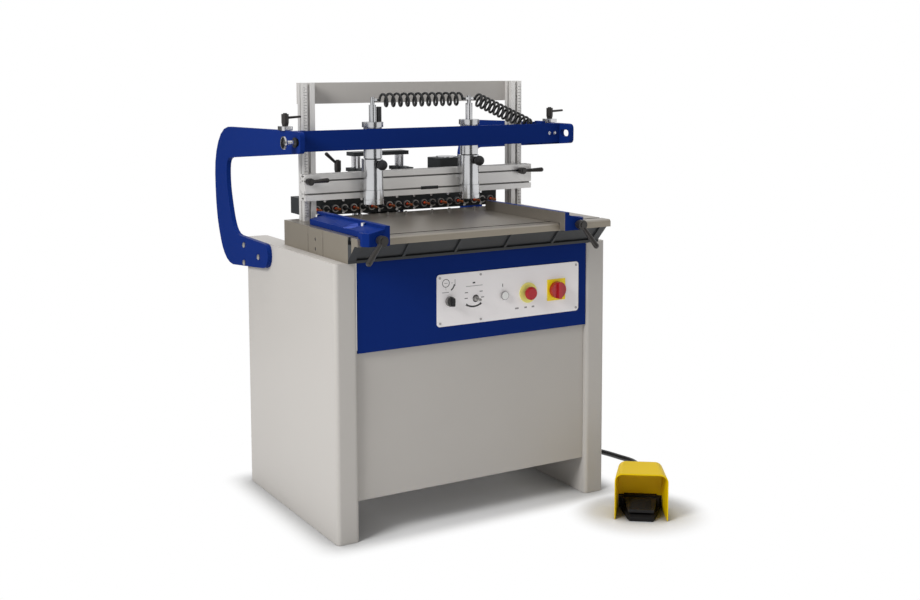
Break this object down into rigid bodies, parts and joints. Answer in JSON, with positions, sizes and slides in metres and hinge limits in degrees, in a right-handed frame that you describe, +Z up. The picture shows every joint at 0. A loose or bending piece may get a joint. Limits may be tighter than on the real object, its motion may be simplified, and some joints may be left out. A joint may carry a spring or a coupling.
{
  "type": "line boring machine",
  "caption": "Free-standing boring machine with a row of geared spindles on a swinging head, a slotted table with fences, two air pressers on a beam, and a foot switch.",
  "frame": {"origin": "on the floor under the middle of the bounding box, the free cable left out", "axes": "+X to the user's right, +Y to the back, +Z up; the user stands at -Y"},
  "size_m": [1.2429, 1.2509, 1.309],
  "materials": {
    "grey_paint": "satin",
    "blue_paint": "satin",
    "yellow_paint": "satin",
    "plate": "satin",
    "cast_table": "machined",
    "profile": "anodised",
    "screws": "satin",
    "hose": "matte",
    "presser_metal": "polished",
    "black_plastic": "matte",
    "white_plastic": "satin",
    "red_plastic": "gloss",
    "chrome": "polished",
    "black_metal": "matte",
    "spindle_steel": "satin"
  },
  "bodies": {
    "stand": {"pillars": "grey_paint", "front_panels": "grey_paint", "control_plate": "plate", "table": "cast_table", "columns": "profile", "bow_arms": "blue_paint", "bow_bar": "blue_paint", "fittings": "screws", "pedal_guard": "yellow_paint", "pedal_cord": "hose"},
    "beam": {"beam": "profile", "coil_hoses": "hose"},
    "presser_left": {"presser_left": "presser_metal"},
    "presser_right": {"presser_right": "presser_metal"},
    "foot_left": {"foot_left": "presser_metal"},
    "foot_right": {"foot_right": "presser_metal"},
    "presser_knob_left": {"presser_knob_left": "black_plastic"},
    "presser_knob_right": {"presser_knob_right": "black_plastic"},
    "fence_left": {"fence_left": "blue_paint"},
    "fence_right": {"fence_right": "blue_paint"},
    "fence_lever_left": {"fence_lever_left": "black_plastic"},
    "fence_lever_right": {"fence_lever_right": "black_plastic"},
    "beam_lever_left": {"beam_lever_left": "black_plastic"},
    "beam_lever_right": {"beam_lever_right": "black_plastic"},
    "bow_lever_left": {"bow_lever_left": "black_plastic"},
    "bow_lever_right": {"bow_lever_right": "black_plastic"},
    "bow_knob": {"bow_knob": "chrome"},
    "rear_lever": {"rear_lever": "black_plastic"},
    "selector_knob": {"selector_knob": "black_plastic"},
    "toggle": {"toggle": "chrome"},
    "start_button": {"start_button": "white_plastic"},
    "emergency_stop": {"emergency_stop": "red_plastic"},
    "main_switch": {"main_switch": "red_plastic"},
    "pedal_treadle": {"pedal_treadle": "black_plastic"},
    "swing": {"swing_frame": "black_metal"},
    "feed": {"feed_carriage": "black_metal"},
    "head": {"head_body": "black_metal", "head_fittings": "black_metal", "motor": "black_metal"},
    "spindle_01": {"spindle_01": "spindle_steel"},
    "spindle_02": {"spindle_02": "spindle_steel"},
    "spindle_03": {"spindle_03": "spindle_steel"},
    "spindle_04": {"spindle_04": "spindle_steel"},
    "spindle_05": {"spindle_05": "spindle_steel"},
    "spindle_06": {"spindle_06": "spindle_steel"},
    "spindle_07": {"spindle_07": "spindle_steel"},
    "spindle_08": {"spindle_08": "spindle_steel"},
    "spindle_09": {"spindle_09": "spindle_steel"},
    "spindle_10": {"spindle_10": "spindle_steel"},
    "spindle_11": {"spindle_11": "spindle_steel"},
    "spindle_12": {"spindle_12": "spindle_steel"},
    "spindle_13": {"spindle_13": "spindle_steel"},
    "spindle_14": {"spindle_14": "spindle_steel"},
    "spindle_15": {"spindle_15": "spindle_steel"},
    "spindle_16": {"spindle_16": "spindle_steel"},
    "spindle_17": {"spindle_17": "spindle_steel"},
    "spindle_18": {"spindle_18": "spindle_steel"},
    "spindle_19": {"spindle_19": "spindle_steel"},
    "spindle_20": {"spindle_20": "spindle_steel"},
    "spindle_21": {"spindle_21": "spindle_steel"}
  },
  "joints": [
    {"name": "beam_height", "type": "slide", "parent": "stand", "child": "beam", "axis": [0, 0, 1], "range_m": [-0.01, 0.025], "deforming": ["coil_hoses"]},
    {"name": "presser_left_place", "type": "slide", "parent": "beam", "child": "presser_left", "axis": [1, 0, 0], "range_m": [-0.06, 0.1], "deforming": ["coil_hoses"]},
    {"name": "presser_right_place", "type": "slide", "parent": "beam", "child": "presser_right", "axis": [1, 0, 0], "range_m": [-0.08, 0.02], "deforming": ["coil_hoses"]},
    {"name": "foot_left_stroke", "type": "slide", "parent": "presser_left", "child": "foot_left", "axis": [0, 0, 1], "range_m": [-0.03, 0], "stiffness_N_per_m": 600, "springref_m": 0.03},
    {"name": "foot_right_stroke", "type": "slide", "parent": "presser_right", "child": "foot_right", "axis": [0, 0, 1], "range_m": [-0.03, 0], "stiffness_N_per_m": 600, "springref_m": 0.03},
    {"name": "presser_knob_left_turn", "type": "hinge", "parent": "presser_left", "child": "presser_knob_left", "pos_m": [-0.206, -0.0023, 1.0603], "axis": [0, 1, 0], "continuous": true},
    {"name": "presser_knob_right_turn", "type": "hinge", "parent": "presser_right", "child": "presser_knob_right", "pos_m": [0.138, -0.0023, 1.0603], "axis": [0, 1, 0], "continuous": true},
    {"name": "fence_left_place", "type": "slide", "parent": "stand", "child": "fence_left", "axis": [1, 0, 0], "range_m": [-0.005, 0.05]},
    {"name": "fence_right_place", "type": "slide", "parent": "stand", "child": "fence_right", "axis": [1, 0, 0], "range_m": [-0.035, 0.1]},
    {"name": "fence_lever_left_turn", "type": "hinge", "parent": "fence_left", "child": "fence_lever_left", "pos_m": [-0.38726, -0.402, 0.884], "axis": [0, 1, 0], "range_deg": [-50, 50]},
    {"name": "fence_lever_right_turn", "type": "hinge", "parent": "fence_right", "child": "fence_lever_right", "pos_m": [0.28086, -0.402, 0.884], "axis": [0, 1, 0], "range_deg": [-50, 50]},
    {"name": "beam_lever_left_turn", "type": "hinge", "parent": "beam", "child": "beam_lever_left", "pos_m": [-0.4085, 0.0327, 1.013], "axis": [0, 1, 0], "range_deg": [-60, 60]},
    {"name": "beam_lever_right_turn", "type": "hinge", "parent": "beam", "child": "beam_lever_right", "pos_m": [0.3545, 0.0327, 1.013], "axis": [0, 1, 0], "range_deg": [-60, 60]},
    {"name": "bow_lever_left_turn", "type": "hinge", "parent": "stand", "child": "bow_lever_left", "pos_m": [-0.483, 0.0217, 1.1823], "axis": [0, 0, 1], "range_deg": [-90, 90]},
    {"name": "bow_lever_right_turn", "type": "hinge", "parent": "stand", "child": "bow_lever_right", "pos_m": [0.467, 0.0217, 1.1823], "axis": [0, 0, 1], "range_deg": [-90, 90]},
    {"name": "bow_knob_turn", "type": "hinge", "parent": "stand", "child": "bow_knob", "pos_m": [-0.483, -0.0743, 1.139], "axis": [1, 0, 0], "continuous": true},
    {"name": "selector_turn", "type": "hinge", "parent": "stand", "child": "selector_knob", "pos_m": [-0.10482, -0.296, 0.67], "axis": [0, 1, 0], "range_deg": [-45, 45]},
    {"name": "toggle_tilt", "type": "hinge", "parent": "stand", "child": "toggle", "pos_m": [-0.0149, -0.296, 0.67], "axis": [1, 0, 0], "range_deg": [-15, 15]},
    {"name": "start_press", "type": "slide", "parent": "stand", "child": "start_button", "axis": [0, 1, 0], "range_m": [0, 0.004], "stiffness_N_per_m": 500, "springref_m": -0.003},
    {"name": "stop_press", "type": "slide", "parent": "stand", "child": "emergency_stop", "axis": [0, 1, 0], "range_m": [0, 0.005]},
    {"name": "main_switch_turn", "type": "hinge", "parent": "stand", "child": "main_switch", "pos_m": [0.27466, -0.296, 0.67], "axis": [0, 1, 0], "range_deg": [0, 90]},
    {"name": "pedal_press", "type": "hinge", "parent": "stand", "child": "pedal_treadle", "pos_m": [0.44745, -0.50584, 0.033], "axis": [0.7986, -0.6018, 0], "range_deg": [0, 4], "stiffness_Nm_per_rad": 4, "springref_deg": -8.59},
    {"name": "head_swing", "type": "hinge", "parent": "stand", "child": "swing", "pos_m": [-0.008, 0.133, 0.86], "axis": [1, 0, 0], "range_deg": [-90, 0]},
    {"name": "feed_stroke", "type": "slide", "parent": "swing", "child": "feed", "axis": [0, -1, 0], "range_m": [0, 0.05]},
    {"name": "head_lift", "type": "slide", "parent": "feed", "child": "head", "axis": [0, 0, 1], "range_m": [0, 0.012]},
    {"name": "rear_lever_turn", "type": "hinge", "parent": "head", "child": "rear_lever", "pos_m": [-0.212, 0.2413, 1.015], "axis": [0, 0, 1], "range_deg": [-60, 60]},
    {"name": "spindle_01_spin", "type": "hinge", "parent": "head", "child": "spindle_01", "pos_m": [-0.328, 0.147, 0.911], "axis": [0, 1, 0], "continuous": true},
    {"name": "spindle_02_spin", "type": "hinge", "parent": "head", "child": "spindle_02", "pos_m": [-0.296, 0.147, 0.911], "axis": [0, 1, 0], "continuous": true},
    {"name": "spindle_03_spin", "type": "hinge", "parent": "head", "child": "spindle_03", "pos_m": [-0.264, 0.147, 0.911], "axis": [0, 1, 0], "continuous": true},
    {"name": "spindle_04_spin", "type": "hinge", "parent": "head", "child": "spindle_04", "pos_m": [-0.232, 0.147, 0.911], "axis": [0, 1, 0], "continuous": true},
    {"name": "spindle_05_spin", "type": "hinge", "parent": "head", "child": "spindle_05", "pos_m": [-0.2, 0.147, 0.911], "axis": [0, 1, 0], "continuous": true},
    {"name": "spindle_06_spin", "type": "hinge", "parent": "head", "child": "spindle_06", "pos_m": [-0.168, 0.147, 0.911], "axis": [0, 1, 0], "continuous": true},
    {"name": "spindle_07_spin", "type": "hinge", "parent": "head", "child": "spindle_07", "pos_m": [-0.136, 0.147, 0.911], "axis": [0, 1, 0], "continuous": true},
    {"name": "spindle_08_spin", "type": "hinge", "parent": "head", "child": "spindle_08", "pos_m": [-0.104, 0.147, 0.911], "axis": [0, 1, 0], "continuous": true},
    {"name": "spindle_09_spin", "type": "hinge", "parent": "head", "child": "spindle_09", "pos_m": [-0.072, 0.147, 0.911], "axis": [0, 1, 0], "continuous": true},
    {"name": "spindle_10_spin", "type": "hinge", "parent": "head", "child": "spindle_10", "pos_m": [-0.04, 0.147, 0.911], "axis": [0, 1, 0], "continuous": true},
    {"name": "spindle_11_spin", "type": "hinge", "parent": "head", "child": "spindle_11", "pos_m": [-0.008, 0.147, 0.911], "axis": [0, 1, 0], "continuous": true},
    {"name": "spindle_12_spin", "type": "hinge", "parent": "head", "child": "spindle_12", "pos_m": [0.024, 0.147, 0.911], "axis": [0, 1, 0], "continuous": true},
    {"name": "spindle_13_spin", "type": "hinge", "parent": "head", "child": "spindle_13", "pos_m": [0.056, 0.147, 0.911], "axis": [0, 1, 0], "continuous": true},
    {"name": "spindle_14_spin", "type": "hinge", "parent": "head", "child": "spindle_14", "pos_m": [0.088, 0.147, 0.911], "axis": [0, 1, 0], "continuous": true},
    {"name": "spindle_15_spin", "type": "hinge", "parent": "head", "child": "spindle_15", "pos_m": [0.12, 0.147, 0.911], "axis": [0, 1, 0], "continuous": true},
    {"name": "spindle_16_spin", "type": "hinge", "parent": "head", "child": "spindle_16", "pos_m": [0.152, 0.147, 0.911], "axis": [0, 1, 0], "continuous": true},
    {"name": "spindle_17_spin", "type": "hinge", "parent": "head", "child": "spindle_17", "pos_m": [0.184, 0.147, 0.911], "axis": [0, 1, 0], "continuous": true},
    {"name": "spindle_18_spin", "type": "hinge", "parent": "head", "child": "spindle_18", "pos_m": [0.216, 0.147, 0.911], "axis": [0, 1, 0], "continuous": true},
    {"name": "spindle_19_spin", "type": "hinge", "parent": "head", "child": "spindle_19", "pos_m": [0.248, 0.147, 0.911], "axis": [0, 1, 0], "continuous": true},
    {"name": "spindle_20_spin", "type": "hinge", "parent": "head", "child": "spindle_20", "pos_m": [0.28, 0.147, 0.911], "axis": [0, 1, 0], "continuous": true},
    {"name": "spindle_21_spin", "type": "hinge", "parent": "head", "child": "spindle_21", "pos_m": [0.312, 0.147, 0.911], "axis": [0, 1, 0], "continuous": true}
  ],
  "couplings": [
    {"joint": "spindle_01_spin", "follows": "spindle_11_spin", "ratio": 1},
    {"joint": "spindle_02_spin", "follows": "spindle_11_spin", "ratio": -1},
    {"joint": "spindle_03_spin", "follows": "spindle_11_spin", "ratio": 1},
    {"joint": "spindle_04_spin", "follows": "spindle_11_spin", "ratio": -1},
    {"joint": "spindle_05_spin", "follows": "spindle_11_spin", "ratio": 1},
    {"joint": "spindle_06_spin", "follows": "spindle_11_spin", "ratio": -1},
    {"joint": "spindle_07_spin", "follows": "spindle_11_spin", "ratio": 1},
    {"joint": "spindle_08_spin", "follows": "spindle_11_spin", "ratio": -1},
    {"joint": "spindle_09_spin", "follows": "spindle_11_spin", "ratio": 1},
    {"joint": "spindle_10_spin", "follows": "spindle_11_spin", "ratio": -1},
    {"joint": "spindle_12_spin", "follows": "spindle_11_spin", "ratio": -1},
    {"joint": "spindle_13_spin", "follows": "spindle_11_spin", "ratio": 1},
    {"joint": "spindle_14_spin", "follows": "spindle_11_spin", "ratio": -1},
    {"joint": "spindle_15_spin", "follows": "spindle_11_spin", "ratio": 1},
    {"joint": "spindle_16_spin", "follows": "spindle_11_spin", "ratio": -1},
    {"joint": "spindle_17_spin", "follows": "spindle_11_spin", "ratio": 1},
    {"joint": "spindle_18_spin", "follows": "spindle_11_spin", "ratio": -1},
    {"joint": "spindle_19_spin", "follows": "spindle_11_spin", "ratio": 1},
    {"joint": "spindle_20_spin", "follows": "spindle_11_spin", "ratio": -1},
    {"joint": "spindle_21_spin", "follows": "spindle_11_spin", "ratio": 1}
  ]
}
